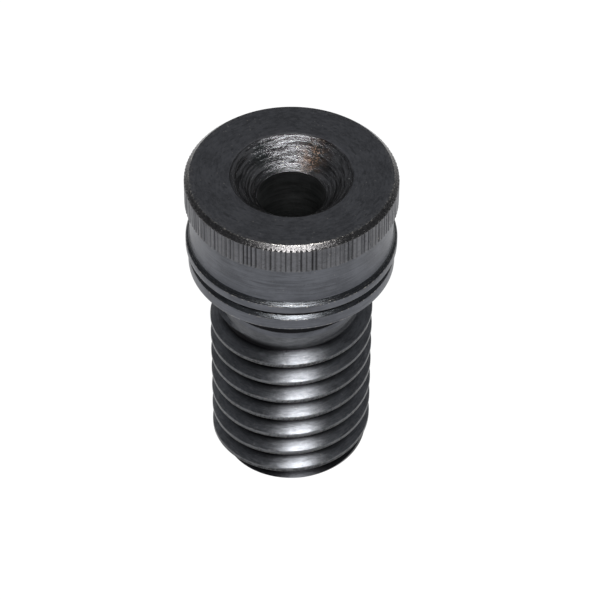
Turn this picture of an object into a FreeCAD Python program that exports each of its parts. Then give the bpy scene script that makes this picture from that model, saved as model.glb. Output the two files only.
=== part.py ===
import FreeCAD, Part
import os

import Sketcher

# Hollow height-adjusting screw for a quick-change tool holder, turned from one bar of steel.
# Frame: Z is the screw's axis, the origin is the centre of the lower end face, and the
# knurled head is at the top. Millimetres.

# Radii are halves of turned diameters, and heights are measured from the lower end face.
SIZES = {
    "total_length": 27.6,
    "bore_radius": 2.6,
    "countersink_radius": 4.66,
    # knurled head
    "head_radius": 8.07,
    "edge_chamfer": 0.38,
    "knurl_bottom": 25.2,
    "knurl_depth": 0.12,
    "knurl_count": 136,
    # wide plain groove under the knurl
    "groove_radius": 7.72,
    "groove_bottom": 21.88,
    # upper flange, whose top edge slopes out of the wide groove at 45 degrees
    "upper_flange_radius": 8.05,
    "upper_flange_land": 0.62,
    # thin square groove between the flanges
    "ring_groove_radius": 7.36,
    "ring_groove_width": 0.59,
    # lower flange, with a chamfered top edge and a conical underside
    "lower_flange_radius": 7.87,
    "lower_flange_chamfer": 0.28,
    "lower_flange_land": 0.9,
    "cone_slope": 50,
    # relief neck
    "neck_radius": 5.4,
    "neck_bottom": 14.9,
    # 1/2-13 UNC outside thread, right-hand, with crests that taper slightly towards the tip;
    # the profile that cuts it reaches a little way outside the crests
    "thread_radius": 6.3,
    "crest_taper": 0.06,
    "root_radius": 5.3,
    "thread_pitch": 1.954,
    "thread_start": -2.544,
    "thread_run": 17.85,
    "thread_overreach": 0.08,
    "tip_chamfer": 0.85,
}

os.makedirs("parts", exist_ok=True)
doc = FreeCAD.newDocument("HeightAdjustingScrew")
sheet = doc.addObject("Spreadsheet::Sheet", "Sizes")
for row, (alias, value) in enumerate(SIZES.items(), start=1):
    sheet.set(f"A{row}", alias)
    sheet.set(f"B{row}", str(value))
    sheet.setAlias(f"B{row}", alias)
doc.recompute()


def in_sheet(text):
    """An expression whose size names, set apart by spaces, point at the sheet."""
    return " ".join(f"Sizes.{word}" if word in SIZES else word for word in text.split())


def own_origin(body, role):
    """The body's own origin plane or axis that plays a role."""
    return next(feature for feature in body.Origin.OriginFeatures if feature.Role == role)


def outline_sketch(body, name, plane, corners):
    """A closed outline of straight lines, with each corner held by two expressions."""
    sketch = body.newObject("Sketcher::SketchObject", name)
    sketch.AttachmentSupport = [(own_origin(body, plane), "")]
    sketch.MapMode = "FlatFace"
    count = len(corners)
    for line in range(count):
        here = FreeCAD.Vector(line, line * line, 0)
        after = FreeCAD.Vector(line + 1, (line + 1) ** 2, 0)
        sketch.addGeometry(Part.LineSegment(here, after))
    for line in range(count):
        sketch.addConstraint(Sketcher.Constraint("Coincident", line, 2, (line + 1) % count, 1))
    for line, (across, up) in enumerate(corners):
        for kind, text in (("DistanceX", across), ("DistanceY", up)):
            number = sketch.addConstraint(Sketcher.Constraint(kind, -1, 1, line, 1, 1.0))
            sketch.setExpression(f"Constraints[{number}]", in_sheet(text))
    doc.recompute()
    return sketch


def check_volume(body, before, change):
    """Stop if a feature didn't add or cut what it should; return the new volume."""
    doc.recompute()
    after = body.Shape.Volume
    if (after - before) * change <= 0:
        raise RuntimeError(f"{body.Tip.Label} left the volume at {after:.2f} mm3")
    print(f"{body.Tip.Label}: {before:.2f} -> {after:.2f} mm3")
    return after


body = doc.addObject("PartDesign::Body", "Screw")
body.Label = "height_adjusting_screw"
body.Placement = FreeCAD.Placement()

# The turned outline, from the bore's lower edge outwards and up, then back down the bore.
flange_top = "groove_bottom - upper_flange_radius + groove_radius"
ring_top = f"{flange_top} - upper_flange_land"
ring_bottom = f"{ring_top} - ring_groove_width"
lower_top = f"{ring_bottom} - lower_flange_chamfer"
lower_bottom = f"{lower_top} - lower_flange_land"
cone_drop = "( lower_flange_radius - neck_radius ) * tan( cone_slope * 1 deg)"
cone_bottom = f"{lower_bottom} - {cone_drop}"
shoulder = "neck_bottom - ( thread_radius - neck_radius ) * tan(30 deg)"
TURNED_OUTLINE = [
    ("bore_radius", "0"),
    ("thread_radius - crest_taper - tip_chamfer", "0"),
    ("thread_radius - crest_taper", "tip_chamfer"),
    ("thread_radius", shoulder),
    ("neck_radius", "neck_bottom"),
    ("neck_radius", cone_bottom),
    ("lower_flange_radius", lower_bottom),
    ("lower_flange_radius", lower_top),
    ("lower_flange_radius - lower_flange_chamfer", ring_bottom),
    ("ring_groove_radius", ring_bottom),
    ("ring_groove_radius", ring_top),
    ("upper_flange_radius", ring_top),
    ("upper_flange_radius", flange_top),
    ("groove_radius", "groove_bottom"),
    ("groove_radius", "knurl_bottom"),
    ("head_radius", "knurl_bottom"),
    ("head_radius", "total_length - edge_chamfer"),
    ("head_radius - edge_chamfer", "total_length"),
    ("countersink_radius", "total_length"),
    ("bore_radius", "total_length - countersink_radius + bore_radius"),
]
outline = outline_sketch(body, "TurnedOutline", "XZ_Plane", TURNED_OUTLINE)
turned = body.newObject("PartDesign::Revolution", "Turned")
turned.Profile = outline
turned.ReferenceAxis = (outline, ["V_Axis"])
turned.Angle = 360
volume = check_volume(body, 0.0, 1)

# Straight knurl: one V notch down the edge of the head, repeated round the axis.
notch = outline_sketch(
    body,
    "KnurlNotch",
    "XY_Plane",
    [
        ("head_radius - knurl_depth", "0"),
        ("head_radius + knurl_depth", "-2 * knurl_depth"),
        ("head_radius + knurl_depth", "2 * knurl_depth"),
    ],
)
notch.setExpression("AttachmentOffset.Base.z", "Sizes.knurl_bottom")
doc.recompute()
knurl_cut = body.newObject("PartDesign::Pocket", "KnurlCut")
knurl_cut.Profile = notch
knurl_cut.Reversed = True
knurl_cut.setExpression("Length", in_sheet("total_length - knurl_bottom"))
volume = check_volume(body, volume, -1)
knurl = body.newObject("PartDesign::PolarPattern", "Knurl")
knurl.Originals = [knurl_cut]
knurl.Axis = (own_origin(body, "Z_Axis"), [""])
knurl.Angle = 360
knurl.setExpression("Occurrences", "Sizes.knurl_count")
body.Tip = knurl
volume = check_volume(body, volume, -1)

# Thread: a 60 degree groove swept up a helix from below the tip into the relief neck. Its
# floor is a quarter of the pitch wide, and the crest left between two turns about a sixth.
half_floor = "thread_pitch / 8"
mouth_radius = "thread_radius + thread_overreach"
half_mouth = f"{half_floor} + ( {mouth_radius} - root_radius ) * tan(30 deg)"
groove = outline_sketch(
    body,
    "ThreadGroove",
    "XZ_Plane",
    [
        ("root_radius", f"thread_start - {half_floor}"),
        (mouth_radius, f"thread_start - ( {half_mouth} )"),
        (mouth_radius, f"thread_start + {half_mouth}"),
        ("root_radius", f"thread_start + {half_floor}"),
    ],
)
thread = body.newObject("PartDesign::SubtractiveHelix", "Thread")
thread.Profile = groove
thread.ReferenceAxis = (groove, ["V_Axis"])
thread.Mode = 0
thread.setExpression("Pitch", "Sizes.thread_pitch")
thread.setExpression("Height", "Sizes.thread_run")
thread.LeftHanded = False
volume = check_volume(body, volume, -1)

for item in doc.Objects:
    if "Invalid" in item.State or "Error" in item.State:
        raise RuntimeError(f"{item.Label} failed: {item.State}")
for piece in [body]:
    if piece.Shape.isNull() or not piece.Shape.isValid():
        raise RuntimeError(f"{piece.Label} has no valid shape")
    piece.Shape.exportStep(f"parts/{piece.Label}.step")
    box = piece.Shape.BoundBox
    print(piece.Label, len(piece.Shape.Solids), "solid", box)
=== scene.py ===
import math
import random

import bpy
import numpy as np
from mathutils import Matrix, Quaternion, Vector


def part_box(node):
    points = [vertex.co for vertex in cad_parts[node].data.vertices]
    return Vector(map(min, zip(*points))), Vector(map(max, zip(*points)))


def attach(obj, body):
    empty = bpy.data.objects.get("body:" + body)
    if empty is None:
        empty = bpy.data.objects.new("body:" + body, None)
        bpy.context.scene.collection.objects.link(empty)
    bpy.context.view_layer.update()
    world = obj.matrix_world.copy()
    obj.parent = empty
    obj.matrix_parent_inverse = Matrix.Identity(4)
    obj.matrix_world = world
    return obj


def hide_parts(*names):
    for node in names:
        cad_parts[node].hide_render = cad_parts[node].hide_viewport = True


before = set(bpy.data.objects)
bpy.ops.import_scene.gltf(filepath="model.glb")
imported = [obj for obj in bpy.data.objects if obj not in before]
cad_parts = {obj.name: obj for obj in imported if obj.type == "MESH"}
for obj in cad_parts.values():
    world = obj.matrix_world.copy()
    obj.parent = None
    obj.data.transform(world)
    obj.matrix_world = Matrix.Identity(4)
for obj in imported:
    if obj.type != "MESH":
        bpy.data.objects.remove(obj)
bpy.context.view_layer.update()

# ---------------------------------------------------------------------------------------
# Sizes, in millimetres from the lower end face, as the screw's drawing has them
# ---------------------------------------------------------------------------------------
NODE = "height_adjusting_screw"
MM = 0.001
TOTAL_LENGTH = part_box(NODE)[1].z / MM

BORE_RADIUS = 2.6
COUNTERSINK_RADIUS = 4.66
HEAD_RADIUS = 8.07
EDGE_CHAMFER = 0.38
KNURL_BOTTOM = 25.2
KNURL_COUNT = 136
KNURL_DEPTH = 0.12
GROOVE_RADIUS = 7.72
GROOVE_BOTTOM = 21.88
UPPER_FLANGE_RADIUS = 8.05
UPPER_FLANGE_LAND = 0.62
RING_GROOVE_RADIUS = 7.36
RING_GROOVE_WIDTH = 0.59
LOWER_FLANGE_RADIUS = 7.87
LOWER_FLANGE_CHAMFER = 0.28
LOWER_FLANGE_LAND = 0.9
CONE_SLOPE = math.tan(math.radians(50))
NECK_RADIUS = 5.4
NECK_BOTTOM = 14.9
CREST_RADIUS = 6.3
CREST_TAPER = 0.06
ROOT_RADIUS = 5.3
FLANK_SLOPE = 1 / math.tan(math.radians(30))
PITCH = 1.954
TIP_CHAMFER = 0.85
# the groove's middle at angle 0, in the turn that runs into the lower end face
THREAD_START = -0.59

UPPER_FLANGE_TOP = GROOVE_BOTTOM - (UPPER_FLANGE_RADIUS - GROOVE_RADIUS)
RING_GROOVE_TOP = UPPER_FLANGE_TOP - UPPER_FLANGE_LAND
RING_GROOVE_BOTTOM = RING_GROOVE_TOP - RING_GROOVE_WIDTH
LOWER_FLANGE_TOP = RING_GROOVE_BOTTOM - LOWER_FLANGE_CHAMFER
LOWER_FLANGE_BOTTOM = LOWER_FLANGE_TOP - LOWER_FLANGE_LAND
CONE_BOTTOM = LOWER_FLANGE_BOTTOM - (LOWER_FLANGE_RADIUS - NECK_RADIUS) * CONE_SLOPE
COUNTERSINK_BOTTOM = TOTAL_LENGTH - (COUNTERSINK_RADIUS - BORE_RADIUS)

# How finely the skin is divided round the axis, and where the thread's rows end on the neck
COLUMNS = 360
KNURL_COLUMNS = 8 * KNURL_COUNT
THREAD_ROWS_TOP = 15.7
# edges that turn by more than this are shaded as sharp
SHARP_ANGLE = math.radians(38)

FINISHES = ["turned", "chamfer", "underside_painted_shade", "face", "edge", "knurl", "thread", "countersink",
            "bore"]


# ---------------------------------------------------------------------------------------
# The skin: rings of points round the axis, joined in the order that the outline runs
# ---------------------------------------------------------------------------------------
class Skin:
    """One surface, gathered ring by ring from the lower end round to the bore."""

    def __init__(self):
        self.points = []
        self.wear = []
        self.grime = []
        self.faces = []
        self.finish = []

    def add_point(self, angle, radius, height, wear=0.0, grime=0.0):
        self.points.append((radius * math.cos(angle), radius * math.sin(angle), height))
        self.wear.append(wear)
        self.grime.append(grime)
        return len(self.points) - 1

    def ring(self, radius, height, count=COLUMNS, wear=0.0, grime=0.0):
        """A ring whose radius, height and share of dirt and painted shade are numbers or
        functions of the angle.
        """
        made = []
        for column in range(count):
            angle = 2 * math.pi * column / count
            across = radius(angle) if callable(radius) else radius
            up = height(angle) if callable(height) else height
            dirt_and_shade = grime(angle) if callable(grime) else grime
            made.append(self.add_point(angle, across, up, wear, dirt_and_shade))
        return made

    def face(self, corners, finish):
        """One face, without the corners that fall together."""
        apart = list(dict.fromkeys(corners))
        if len(apart) > 2:
            self.faces.append(apart)
            self.finish.append(FINISHES.index(finish))

    def join(self, first, second, finish):
        """Faces between two rings, which may have different counts of points."""
        near, far = len(first), len(second)
        one = two = 0
        while one < near or two < far:
            a, b = first[one % near], second[two % far]
            next_one, next_two = (one + 1) * far, (two + 1) * near
            if next_one == next_two:
                self.face([a, first[(one + 1) % near], second[(two + 1) % far], b], finish)
                one, two = one + 1, two + 1
            elif next_one < next_two:
                self.face([a, first[(one + 1) % near], b], finish)
                one += 1
            else:
                self.face([a, second[(two + 1) % far], b], finish)
                two += 1

    def chain(self, rings, finish):
        for first, second in zip(rings, rings[1:]):
            self.join(first, second, finish)
        return rings[-1]


def rounded(corners, steps=3):
    """Outline points (radius, height, wear) with each (radius, height, edge) corner rounded."""
    made = [(*corners[0][:2], 0.0)]
    for before, here, after in zip(corners, corners[1:], corners[2:]):
        point, edge = Vector(here[:2]), here[2]
        back = (Vector(before[:2]) - point).normalized() * edge
        on = (Vector(after[:2]) - point).normalized() * edge
        turn = (point - Vector(before[:2])).cross(Vector(after[:2]) - point)
        outside = 1.0 if turn > 0 else 0.0
        for step in range(steps + 1):
            share = step / steps
            place = point + back * (1 - share) ** 2 + on * share**2
            made.append((place.x, place.y, outside * (1 - (2 * share - 1) ** 2)))
    made.append((*corners[-1][:2], 0.0))
    return made


def clamp(value):
    return min(max(value, 0.0), 1.0)


def soft_min(a, b, blend):
    """The smaller of two sizes, rounded off where they meet."""
    share = clamp(0.5 + 0.5 * (b - a) / blend)
    return b * (1 - share) + a * share - blend * share * (1 - share)


def soft_max(a, b, blend):
    """The larger of two sizes, rounded off where they meet."""
    return -soft_min(-a, -b, blend)


# ---------------------------------------------------------------------------------------
# The knurl: V notches pressed twice round by a worn wheel, so they vary in place and depth
# ---------------------------------------------------------------------------------------
def knurl_profile():
    """The depth of the knurl at each column round the head."""
    chance = random.Random(5)
    depths = np.zeros(KNURL_COLUMNS)
    spacing = KNURL_COLUMNS / KNURL_COUNT
    columns = np.arange(KNURL_COLUMNS)

    def press(place, depth, half_width):
        away = np.abs((columns - place + KNURL_COLUMNS / 2) % KNURL_COLUMNS - KNURL_COLUMNS / 2)
        notch = depth * np.clip(1 - away / half_width, 0, 1)
        np.maximum(depths, notch, out=depths)

    for tooth in range(KNURL_COUNT):
        wander = 0.9 * math.sin(tooth * 0.37) + chance.uniform(-1.2, 1.2)
        deep = 1.0 if chance.random() < 0.2 else chance.uniform(0.4, 0.85)
        press(tooth * spacing + wander, KNURL_DEPTH * deep, chance.uniform(1.6, 2.6))
    for _ in range(KNURL_COUNT):
        press(chance.uniform(0, KNURL_COLUMNS), KNURL_DEPTH * chance.uniform(0.15, 0.5), 1.4)
    return depths


def add_knurl(skin, below):
    """The knurled band and its chamfer, from the step under the band to the top face."""
    depths = knurl_profile()
    chamfer_bottom = TOTAL_LENGTH - EDGE_CHAMFER
    chamfer_rows = 5
    notch_round = 0.02
    top_round = 0.02
    chance = random.Random(8)
    ragged = [chance.uniform(0.75, 1.0) for _ in range(KNURL_COLUMNS)]

    def band(height, share, wear):
        """A ring of the head, with its notches at a share of their depth."""
        room = HEAD_RADIUS - max(0.0, height - chamfer_bottom)

        def radius(angle):
            column = round(angle / (2 * math.pi) * KNURL_COLUMNS)
            notch = HEAD_RADIUS - depths[column] * share * ragged[column]
            return soft_min(room, notch, notch_round)

        # darker in the notches: dark oxide and dirt held there, and painted shade where the
        # notches lie in shadow
        def grime(angle):
            column = round(angle / (2 * math.pi) * KNURL_COLUMNS)
            return min(1.0, 1.2 * depths[column] / KNURL_DEPTH) * share

        return skin.ring(radius, height, KNURL_COLUMNS, wear, grime)

    rings = [band(KNURL_BOTTOM, 0.9, 0.3), band(KNURL_BOTTOM + 0.05, 1.0, 0.1)]
    rings += [band(KNURL_BOTTOM + rise, 1.0, 0.0) for rise in (0.6, 1.2, 1.8)]
    rings.append(band(chamfer_bottom, 1.0, 0.2))
    skin.join(below, rings[0], "turned")
    skin.chain(rings, "knurl")
    chamfer = rings[-1:]
    for row in range(1, chamfer_rows):
        chamfer.append(band(chamfer_bottom + EDGE_CHAMFER * row / chamfer_rows, 0.5, 0.0))
    chamfer.append(band(TOTAL_LENGTH - top_round, 0.2, 1.0))
    chamfer.append(band(TOTAL_LENGTH, 0.0, 1.0))
    return skin.chain(chamfer, "edge")


# ---------------------------------------------------------------------------------------
# The thread: rows that climb with the helix, cut off by the tip chamfer and the neck
# ---------------------------------------------------------------------------------------
HALF_FLOOR = PITCH / 8
HALF_MOUTH = HALF_FLOOR + (CREST_RADIUS - ROOT_RADIUS) / FLANK_SLOPE
PROFILE_ROUND = 0.06
TIP_ROUND = 0.05
SHOULDER_ROUND = 0.04
# above the neck's lower end the groove's floor comes up until the groove is gone
RUN_OUT_START = 0.1
RUN_OUT_LENGTH = 0.6
RUN_OUT_RISE = 0.3


def thread_rows():
    """Where the rows lie across one turn, from crest to crest, about the groove's middle."""
    ease = 0.035
    half = [0.0]
    for corner in (HALF_FLOOR, HALF_MOUTH):
        half += [corner - ease, corner, corner + ease]
    half.insert(4, (HALF_FLOOR + HALF_MOUTH) / 2)
    return [-PITCH / 2] + [-place for place in reversed(half)] + half[1:]


def above_groove(height, angle):
    """How far a place lies above the middle of the nearest turn of the groove."""
    climb = (height - THREAD_START) / PITCH - angle / (2 * math.pi)
    return ((climb + 0.5) % 1.0 - 0.5) * PITCH


def thread_radius(height, angle):
    """The thread's radius, with its groove, tip chamfer, shoulder and neck."""
    away = abs(above_groove(height, angle))
    fade = clamp((height - NECK_BOTTOM - RUN_OUT_START) / RUN_OUT_LENGTH)
    floor = ROOT_RADIUS + RUN_OUT_RISE * fade
    flank = ROOT_RADIUS + (away - HALF_FLOOR) * FLANK_SLOPE
    crest = CREST_RADIUS - CREST_TAPER * (1 - height / NECK_BOTTOM)
    cut = soft_max(floor, soft_min(crest, flank, PROFILE_ROUND), PROFILE_ROUND)
    tip = CREST_RADIUS - CREST_TAPER - TIP_CHAMFER + height
    shoulder = NECK_RADIUS + max(0.0, NECK_BOTTOM - height) * FLANK_SLOPE
    return soft_min(soft_min(cut, tip, TIP_ROUND), shoulder, SHOULDER_ROUND)


def crest_wear(height, angle):
    """1 on the crest's two edges, falling to 0 on either side, and 0 by the neck and on it."""
    unworn_below_neck = 0.6
    edge_inset = 0.02
    edge_width = 0.1
    if height > NECK_BOTTOM - unworn_below_neck:
        return 0.0
    away = abs(above_groove(height, angle))
    return max(0.0, 1 - abs(away - HALF_MOUTH - edge_inset) / edge_width)


def thread_grime(height, angle, radius):
    """Painted shade, 1 in the thread's root and less on the tip chamfer and on the crest's lower
    half, where the thread lies in shadow.

    The crest's lower half is the one that lies just above a turn of the groove.
    """
    tip_share = 0.8
    crest_share = 0.7
    fade_length = 0.3
    root_reach = 0.28
    root_fade = 0.18
    below_neck = clamp((NECK_BOTTOM - 0.15 - height) / fade_length)
    root = below_neck * clamp((ROOT_RADIUS + root_reach - radius) / root_fade)
    tip = tip_share * clamp((TIP_CHAMFER + 0.1 - height) / fade_length)
    on_lower_half = HALF_MOUTH - 0.05 < above_groove(height, angle)
    crest = crest_share * below_neck if on_lower_half else 0.0
    return max(root, tip, crest)


def add_thread(skin, low_ring):
    """The threaded length, from a ring on the lower face to a ring on the neck.

    The first row climbs past the lower face in the last fifth of its turn. Nothing lies under
    it there, so the tip chamfer has a thin wedge-shaped opening in that stretch.
    """
    rows = thread_rows()
    turns = math.ceil((THREAD_ROWS_TOP - THREAD_START) / PITCH)
    base = [THREAD_START + turn * PITCH + row for turn in range(turns) for row in rows]
    high_ring = skin.ring(NECK_RADIUS, THREAD_ROWS_TOP)
    known = {}

    def corner(row, column):
        if row >= len(base):
            return high_ring[column]
        if (row, column) not in known:
            angle = 2 * math.pi * column / COLUMNS
            height = base[row] + PITCH * column / COLUMNS
            if height <= 0:
                known[row, column] = low_ring[column]
            elif height >= THREAD_ROWS_TOP:
                known[row, column] = high_ring[column]
            else:
                radius = thread_radius(height, angle)
                wear = crest_wear(height, angle)
                # painted shade in the root, on the tip chamfer and under the crests
                grime = thread_grime(height, angle, radius)
                known[row, column] = skin.add_point(angle, radius, height, wear, grime)
        return known[row, column]

    for column in range(COLUMNS):
        beside = (column + 1) % COLUMNS
        shift = len(rows) if beside == 0 else 0
        for row in range(len(base)):
            skin.face(
                [
                    corner(row, column),
                    corner(row + shift, beside),
                    corner(row + 1 + shift, beside),
                    corner(row + 1, column),
                ],
                "thread",
            )
    return high_ring


# ---------------------------------------------------------------------------------------
# The countersink: a coarse-turned cone with chatter
# ---------------------------------------------------------------------------------------
def add_countersink(skin, rim):
    """The cone from the rim down to the bore; its waves fade out at both ends."""
    depth = COUNTERSINK_RADIUS - BORE_RADIUS
    rows = 40
    tool_step = 0.26
    slow_step = 2.7 * tool_step
    score_depth = 0.018
    slow_depth = 0.024
    fade_share = 6
    rings = [rim]
    for row in range(1, rows):
        down = depth * row / rows
        edge = min(1.0, fade_share * row / rows, fade_share * (rows - row) / rows)

        def radius(angle, down=down, edge=edge):
            drift = 1.7 * math.sin(1.9 * down + 0.6) + 0.7 * math.sin(angle + 1.0)
            score = math.sin(2 * math.pi * down / tool_step + drift)
            slow = math.sin(2 * math.pi * down / slow_step + 2.0 * drift)
            wave = score_depth * score + slow_depth * slow
            return COUNTERSINK_RADIUS - down + edge * wave

        rings.append(skin.ring(radius, TOTAL_LENGTH - down))
    rings.append(skin.ring(BORE_RADIUS, COUNTERSINK_BOTTOM, wear=0.2))
    return skin.chain(rings, "countersink")


# ---------------------------------------------------------------------------------------
# The whole screw
# ---------------------------------------------------------------------------------------
def outline_rings(skin, corners):
    """A plain ring for each point of a rounded outline."""
    return [skin.ring(radius, height, wear=wear) for radius, height, wear in rounded(corners)]


def chain_head(skin, rings):
    """Join the rings of the flanges and grooves, with the two sloping edges as chamfers."""
    slopes = ((LOWER_FLANGE_TOP, RING_GROOVE_BOTTOM), (UPPER_FLANGE_TOP, GROOVE_BOTTOM))
    for first, second in zip(rings, rings[1:]):
        middle = (skin.points[first[0]][2] + skin.points[second[0]][2]) / 2
        sloping = any(low < middle < high for low, high in slopes)
        skin.join(first, second, "chamfer" if sloping else "turned")
    return rings[-1]


def cone_point(share):
    """A point on the cone, from 0 at the neck to 1 at the lower flange."""
    across = NECK_RADIUS + (LOWER_FLANGE_RADIUS - NECK_RADIUS) * share
    return (across, CONE_BOTTOM + (across - NECK_RADIUS) * CONE_SLOPE, 0.0)


def build_screw():
    """The skin: end face, thread, neck, cone, flanges, grooves, knurl, top face and bore."""
    mouth_chamfer = 0.2
    end_face_middle = 4.2
    top_face_radii = (7.3, 6.5, 5.7, 5.2)
    # how far outside the countersink's edge, and how far below the top face
    rim_round = ((0.16, 0.0), (0.06, 0.01), (0.0, 0.045))
    skin = Skin()
    mouth = skin.ring(BORE_RADIUS, mouth_chamfer)
    low_ring = skin.ring(lambda angle: thread_radius(0.0, angle), 0.0, wear=0.4)
    flat = [skin.ring(radius, 0.0) for radius in (BORE_RADIUS + mouth_chamfer, end_face_middle)]
    skin.chain([mouth] + flat + [low_ring], "face")
    neck = add_thread(skin, low_ring)
    stem = outline_rings(
        skin,
        [
            (NECK_RADIUS, THREAD_ROWS_TOP + 0.05, 0.0),
            (NECK_RADIUS, CONE_BOTTOM, 0.1),
            cone_point(0.08),
        ],
    )
    cone_start = skin.chain([neck] + stem, "turned")
    cone_end = skin.ring(*cone_point(0.96)[:2])
    # the cone's underside gets a near-black, non-metallic material: painted shade under the lower
    # flange
    skin.join(cone_start, cone_end, "underside_painted_shade")
    mid_edge = (UPPER_FLANGE_RADIUS + GROOVE_RADIUS) / 2
    step_height = UPPER_FLANGE_TOP + UPPER_FLANGE_RADIUS - mid_edge
    head = outline_rings(
        skin,
        [
            cone_point(0.98),
            (LOWER_FLANGE_RADIUS, LOWER_FLANGE_BOTTOM, 0.06),
            (LOWER_FLANGE_RADIUS, LOWER_FLANGE_TOP, 0.05),
            (LOWER_FLANGE_RADIUS - LOWER_FLANGE_CHAMFER, RING_GROOVE_BOTTOM, 0.04),
            (RING_GROOVE_RADIUS, RING_GROOVE_BOTTOM, 0.05),
            (RING_GROOVE_RADIUS, RING_GROOVE_TOP, 0.05),
            (UPPER_FLANGE_RADIUS, RING_GROOVE_TOP, 0.05),
            (UPPER_FLANGE_RADIUS, UPPER_FLANGE_TOP, 0.06),
            (mid_edge + 0.03, step_height - 0.03, 0.02),
            (mid_edge - 0.02, step_height - 0.02, 0.02),
            (GROOVE_RADIUS, GROOVE_BOTTOM, 0.06),
            (GROOVE_RADIUS, KNURL_BOTTOM, 0.08),
            (HEAD_RADIUS - KNURL_DEPTH - 0.05, KNURL_BOTTOM, 0.0),
        ],
    )
    under_knurl = chain_head(skin, [cone_end] + head)
    edge = add_knurl(skin, under_knurl)
    face_edge = HEAD_RADIUS - EDGE_CHAMFER
    top = [edge, skin.ring(face_edge - 0.05, TOTAL_LENGTH, wear=0.4)]
    top += [skin.ring(radius, TOTAL_LENGTH) for radius in top_face_radii]
    top += [skin.ring(COUNTERSINK_RADIUS + out, TOTAL_LENGTH - down) for out, down in rim_round]
    rim = skin.chain(top, "face")
    throat = add_countersink(skin, rim)
    heights = [COUNTERSINK_BOTTOM - 0.05, 20.0, 15.0, 10.0, 5.0]
    wall = [skin.ring(BORE_RADIUS, height) for height in heights]
    skin.chain([throat] + wall + [mouth], "bore")
    return skin


def make_piece(skin, materials):
    """The skin as one mesh object, in metres, with a material for each finish."""
    mesh = bpy.data.meshes.new("turned_screw")
    points = [[MM * value for value in point] for point in skin.points]
    mesh.from_pydata(points, [], skin.faces)
    for finish in FINISHES:
        mesh.materials.append(materials[finish])
    mesh.polygons.foreach_set("material_index", skin.finish)
    for name, values in (("wear", skin.wear), ("grime", skin.grime)):
        mesh.attributes.new(name, "FLOAT", "POINT").data.foreach_set("value", values)
    mesh.validate()
    mesh.shade_smooth()
    mesh.set_sharp_from_angle(angle=SHARP_ANGLE)
    piece = bpy.data.objects.new("turned_screw", mesh)
    bpy.context.scene.collection.objects.link(piece)
    even = piece.modifiers.new("flat faces stay flat", "WEIGHTED_NORMAL")
    even.keep_sharp = True
    return piece


# ---------------------------------------------------------------------------------------
# Materials: black oxide over turned steel
# ---------------------------------------------------------------------------------------
PIT_COLOUR = (0.02, 0.02, 0.02, 1)
# dark colour for dirt in the knurl's notches and for painted shade in the thread's root, on its
# tip chamfer and under its crests
DIRT_AND_SHADE_COLOUR = (0.008, 0.008, 0.009, 1.0)
BARE_STEEL = (0.34, 0.32, 0.29, 1.0)
DUST_COLOUR = (0.36, 0.34, 0.30, 1.0)
RUST_COLOUR = (0.085, 0.056, 0.040, 1.0)


class Nodes:
    """A short way to write a material's node tree."""

    def __init__(self, name):
        self.material = bpy.data.materials.new(name)
        self.material.use_nodes = True
        self.tree = self.material.node_tree
        self.shader = self.tree.nodes["Principled BSDF"]

    def add(self, kind, **inputs):
        node = self.tree.nodes.new(kind)
        for name, value in inputs.items():
            self.set(node, name.replace("_", " "), value)
        return node

    def set(self, node, name, value):
        socket = node.inputs[int(name) if name.isdigit() else name]
        if isinstance(value, bpy.types.NodeSocket):
            self.tree.links.new(value, socket)
        else:
            socket.default_value = value

    def math(self, operation, first, second=0.0, third=0.0):
        node = self.tree.nodes.new("ShaderNodeMath")
        node.operation = operation
        for index, value in enumerate((first, second, third)):
            self.set(node, str(index), value)
        return node.outputs[0]

    def remap(self, value, low, high, to_low=0.0, to_high=1.0):
        node = self.tree.nodes.new("ShaderNodeMapRange")
        node.interpolation_type = "SMOOTHSTEP"
        for index, number in enumerate((value, low, high, to_low, to_high)):
            self.set(node, str(index), number)
        return node.outputs[0]

    def mix(self, share, first, second):
        node = self.tree.nodes.new("ShaderNodeMix")
        node.data_type = "RGBA"
        self.set(node, "0", share)
        self.set(node, "6", first)
        self.set(node, "7", second)
        return node.outputs[2]

    def noise(self, vector, scale, detail=2.0, roughness=0.5, extra=None):
        node = self.tree.nodes.new("ShaderNodeTexNoise")
        node.noise_dimensions = "4D" if extra is not None else "3D"
        self.set(node, "Vector", vector)
        self.set(node, "Scale", scale)
        self.set(node, "Detail", detail)
        self.set(node, "Roughness", roughness)
        if extra is not None:
            self.set(node, "W", extra)
        return node.outputs[0]


def lathe_coordinates(nodes, streak):
    """The place in mm, and the noise inputs of marks that run round the axis.

    A mark is about 1 / streak times as long as it is wide.
    """
    place = nodes.tree.nodes.new("ShaderNodeVectorMath")
    place.operation = "SCALE"
    source = nodes.tree.nodes.new("ShaderNodeTexCoord")
    nodes.set(place, "0", source.outputs["Object"])
    nodes.set(place, "Scale", 1 / MM)
    apart = nodes.add("ShaderNodeSeparateXYZ", Vector=place.outputs[0])
    x, y, z = apart.outputs
    square = nodes.math("ADD", nodes.math("MULTIPLY", x, x), nodes.math("MULTIPLY", y, y))
    radius = nodes.math("SQRT", square)
    track = nodes.add("ShaderNodeCombineXYZ", X=radius, Y=z, Z=nodes.math("MULTIPLY", x, streak))
    return place.outputs[0], track.outputs[0], nodes.math("MULTIPLY", y, streak), (x, y)


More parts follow.
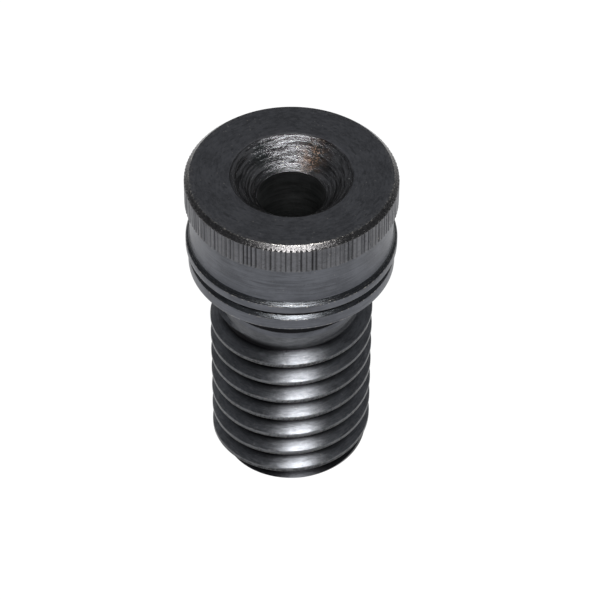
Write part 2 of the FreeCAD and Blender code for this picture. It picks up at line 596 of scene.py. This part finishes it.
def blackened_steel(finish, look):
    """Black oxide over turned steel: tool marks, pits, grain, dirt with painted shade in the
    hollows, and rubbed edges.
    """
    nodes = Nodes("blackened_steel_" + finish)
    place, track, extra, across = lathe_coordinates(nodes, look["streak"])
    marks = nodes.noise(track, look["mark_scale"], 3.0, 0.6, extra)
    scores = nodes.remap(nodes.noise(track, 4.0, 1.0, 0.5, extra), 0.62, 0.70)
    grain = nodes.noise(place, 16.0, 3.0, 0.65)
    blotch = nodes.noise(place, 0.55, 4.0, 0.6)
    pits = nodes.remap(nodes.noise(place, 7.0, 2.0, 0.6), 0.66, 0.74)

    dark = (*((1 - look["contrast"]) * value for value in look["tone"]), 1.0)
    light = (*((1 + look["contrast"]) * value for value in look["tone"]), 1.0)
    patchy = nodes.math("ADD", nodes.math("MULTIPLY", marks, look["lines"]),
                        nodes.math("MULTIPLY", blotch, 1 - look["lines"]))
    colour = nodes.mix(nodes.remap(patchy, 0.5 - look["blend"], 0.5 + look["blend"]), dark, light)
    colour = nodes.mix(nodes.remap(grain, 0.40, 0.75, 0.0, look["speckle"]), colour, light)
    colour = nodes.mix(nodes.math("MULTIPLY", scores, 0.8), colour, dark)
    colour = nodes.mix(nodes.math("MULTIPLY", pits, look["pitted"]), colour, PIT_COLOUR)
    # the per-point share of dirt and painted shade darkens the colour towards the dark colour
    grime = nodes.add("ShaderNodeAttribute")
    grime.attribute_name = "grime"
    dirt_and_shade_mask = nodes.math("MULTIPLY", grime.outputs["Fac"], look["dirt_and_shade"])
    colour = nodes.mix(dirt_and_shade_mask, colour, DIRT_AND_SHADE_COLOUR)
    wear = nodes.add("ShaderNodeAttribute")
    wear.attribute_name = "wear"
    flecked = nodes.remap(nodes.noise(place, 5.0, 3.0, 0.7), 0.50, 0.64)
    bare = nodes.math("MULTIPLY", nodes.math("MULTIPLY", wear.outputs["Fac"], flecked),
                      look["rubbed"])
    colour = nodes.mix(bare, colour, BARE_STEEL)
    dust = nodes.remap(nodes.noise(place, 5.5, 1.0, 0.5), 0.745, 0.78, 0.0, look["dust"])
    colour = nodes.mix(dust, colour, DUST_COLOUR)
    if finish == "countersink":
        colour = rust_bloom(nodes, place, across, colour)

    shader = nodes.shader
    nodes.set(shader, "Base Color", colour)
    nodes.set(shader, "Metallic", look["metallic"])
    nodes.set(shader, "Specular IOR Level", look["specular"])
    uneven = nodes.math("MULTIPLY_ADD", marks, 0.20, nodes.math("MULTIPLY", grain, 0.14))
    nodes.set(shader, "Roughness", nodes.math("ADD", uneven, look["roughness"] - 0.17))
    if look["anisotropy"]:
        across_marks = 0.25
        tangent = nodes.tree.nodes.new("ShaderNodeTangent")
        tangent.direction_type = "RADIAL"
        tangent.axis = "Z"
        nodes.set(shader, "Tangent", tangent.outputs[0])
        nodes.set(shader, "Anisotropic", look["anisotropy"])
        nodes.set(shader, "Anisotropic Rotation", across_marks)
    height = nodes.math("ADD", nodes.math("MULTIPLY", marks, look["mark_depth"]),
                        nodes.math("MULTIPLY", grain, look["grain_depth"]))
    height = nodes.math("SUBTRACT", height, nodes.math("MULTIPLY", pits, look["pit_depth"]))
    bump = nodes.add("ShaderNodeBump", Strength=1.0, Distance=MM, Height=height)
    nodes.set(shader, "Normal", bump.outputs[0])
    return nodes.material


def rust_bloom(nodes, place, across, colour):
    """A brown bloom on one side of the countersink."""
    x, y = across
    centre = (1.75, 3.1)
    spread = 1.7
    sideways = nodes.math("SUBTRACT", x, centre[0])
    along = nodes.math("SUBTRACT", y, centre[1])
    away = nodes.math("SQRT", nodes.math("ADD", nodes.math("MULTIPLY", sideways, sideways),
                                         nodes.math("MULTIPLY", along, along)))
    near = nodes.remap(away, 0.0, spread, 1.0, 0.0)
    patch = nodes.remap(nodes.noise(place, 2.4, 4.0, 0.7), 0.36, 0.60)
    return nodes.mix(nodes.math("MULTIPLY", near, patch), colour, RUST_COLOUR)


# What each finish changes from the plain one. Depths are in mm, and streak is the width of a
# tool mark over its length.
BLUED = (0.090, 0.094, 0.106)
MATT = (0.086, 0.087, 0.093)
PLAIN = dict(tone=BLUED, lines=0.55, contrast=0.30, blend=0.16, metallic=1.0, specular=0.5,
             roughness=0.38, anisotropy=0.0, streak=0.06, mark_scale=6.0, mark_depth=0.004,
             grain_depth=0.005, pit_depth=0.006, pitted=0.3, speckle=0.5, dirt_and_shade=0.9, rubbed=0.8,
             dust=0.2)
LOOKS = {
    "turned": dict(roughness=0.40, anisotropy=0.25, mark_scale=8.0, mark_depth=0.024,
                   grain_depth=0.004, rubbed=1.0),
    "chamfer": dict(tone=(0.040, 0.042, 0.045), roughness=0.25, streak=0.2, mark_scale=9.0,
                    mark_depth=0.020, grain_depth=0.009, speckle=0.9, pitted=0.7, rubbed=1.0),
    # painted shade: the cone under the lower flange is near-black and non-metallic, though it is
    # the same steel in shadow
    "underside_painted_shade": dict(tone=(0.010, 0.010, 0.011), metallic=0.0, specular=0.0, roughness=0.6,
                      rubbed=0.0, dust=0.0),
    "face": dict(tone=MATT, roughness=0.46, streak=0.4, mark_depth=0.001, grain_depth=0.009,
                 speckle=0.9, dust=0.6),
    "edge": dict(tone=(0.058, 0.056, 0.056), roughness=0.24, streak=0.6, mark_scale=7.0,
                 mark_depth=0.024, grain_depth=0.014, pit_depth=0.03, pitted=0.9, speckle=1.0,
                 rubbed=1.0, dust=0.3),
    "knurl": dict(tone=(0.104, 0.105, 0.113), roughness=0.36, streak=0.5, mark_scale=4.0,
                  grain_depth=0.012, pit_depth=0.016, pitted=0.9, speckle=1.0, dirt_and_shade=0.8,
                  rubbed=1.0, dust=0.5),
    "thread": dict(tone=(0.094, 0.097, 0.104), roughness=0.36, anisotropy=0.75, streak=0.2,
                   mark_scale=9.0, mark_depth=0.018, grain_depth=0.009, pit_depth=0.012,
                   dirt_and_shade=1.0, rubbed=0.25, dust=0.15),
    "countersink": dict(tone=(0.052, 0.052, 0.054), lines=0.9, contrast=0.80, blend=0.08,
                        metallic=0.88, roughness=0.16, streak=0.12, mark_scale=5.2,
                        mark_depth=0.062, grain_depth=0.028, pit_depth=0.05, pitted=0.9,
                        speckle=1.0, dust=0.3),
    "bore": dict(tone=(0.11, 0.114, 0.114), roughness=0.42, streak=0.1, mark_depth=0.014,
                 rubbed=0.0, dust=0.0),
}


def make_materials():
    return {finish: blackened_steel(finish, PLAIN | LOOKS[finish]) for finish in FINISHES}


# ---------------------------------------------------------------------------------------
# Camera, floor and light
# ---------------------------------------------------------------------------------------
def make_camera():
    """Looks down at the screw from in front, through a long lens."""
    aim = Vector((0.68, 0.0, 14.48)) * MM
    elevation = math.radians(44.43)
    azimuth = math.radians(0.23)
    distance = 248.3 * MM
    data = bpy.data.cameras.new("camera")
    data.sensor_width = 36.0
    data.lens = 192.3
    data.clip_start = 0.01
    camera = bpy.data.objects.new("camera", data)
    bpy.context.scene.collection.objects.link(camera)
    away = Vector((-math.sin(azimuth) * math.cos(elevation),
                   -math.cos(azimuth) * math.cos(elevation), math.sin(elevation)))
    camera.location = aim + away * distance
    camera.rotation_mode = "QUATERNION"
    level = (-away).to_track_quat("-Z", "Y")
    camera.rotation_quaternion = level @ Quaternion((0, 0, 1), math.radians(0.35))
    bpy.context.scene.camera = camera


def make_floor():
    """A white floor, lit mostly by itself so that it stays even."""
    half = 1.5
    mesh = bpy.data.meshes.new("floor")
    corners = [(-half, -half, 0), (half, -half, 0), (half, half, 0), (-half, half, 0)]
    mesh.from_pydata(corners, [], [(0, 1, 2, 3)])
    nodes = Nodes("white_floor")
    nodes.set(nodes.shader, "Base Color", (0.03, 0.03, 0.03, 1.0))
    nodes.set(nodes.shader, "Roughness", 0.9)
    nodes.set(nodes.shader, "Emission Color", (1.0, 1.0, 1.0, 1.0))
    nodes.set(nodes.shader, "Emission Strength", 0.985)
    mesh.materials.append(nodes.material)
    floor = bpy.data.objects.new("floor", mesh)
    bpy.context.scene.collection.objects.link(floor)


def add_softbox(name, direction, distance, size, power):
    """An area lamp that faces the screw's middle."""
    data = bpy.data.lights.new(name, "AREA")
    data.shape = "RECTANGLE"
    data.size, data.size_y = size
    data.energy = power
    lamp = bpy.data.objects.new(name, data)
    bpy.context.scene.collection.objects.link(lamp)
    away = Vector(direction).normalized()
    lamp.location = Vector((0, 0, TOTAL_LENGTH * MM / 2)) + away * distance
    lamp.rotation_mode = "QUATERNION"
    lamp.rotation_quaternion = (-away).to_track_quat("-Z", "Y")


def make_light():
    """A dim grey room and one softbox in front of the screw and above it."""
    world = bpy.data.worlds.new("studio")
    world.use_nodes = True
    world.node_tree.nodes["Background"].inputs["Color"].default_value = (0.30, 0.31, 0.33, 1)
    bpy.context.scene.world = world
    add_softbox("key_softbox", (0.05, -0.643, 0.766), 0.6, (0.16, 0.30), 6.6)
    bpy.context.scene.view_settings.view_transform = "Standard"


make_camera()
make_floor()
make_light()
screw = make_piece(build_screw(), make_materials())
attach(screw, "root")
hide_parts(NODE)
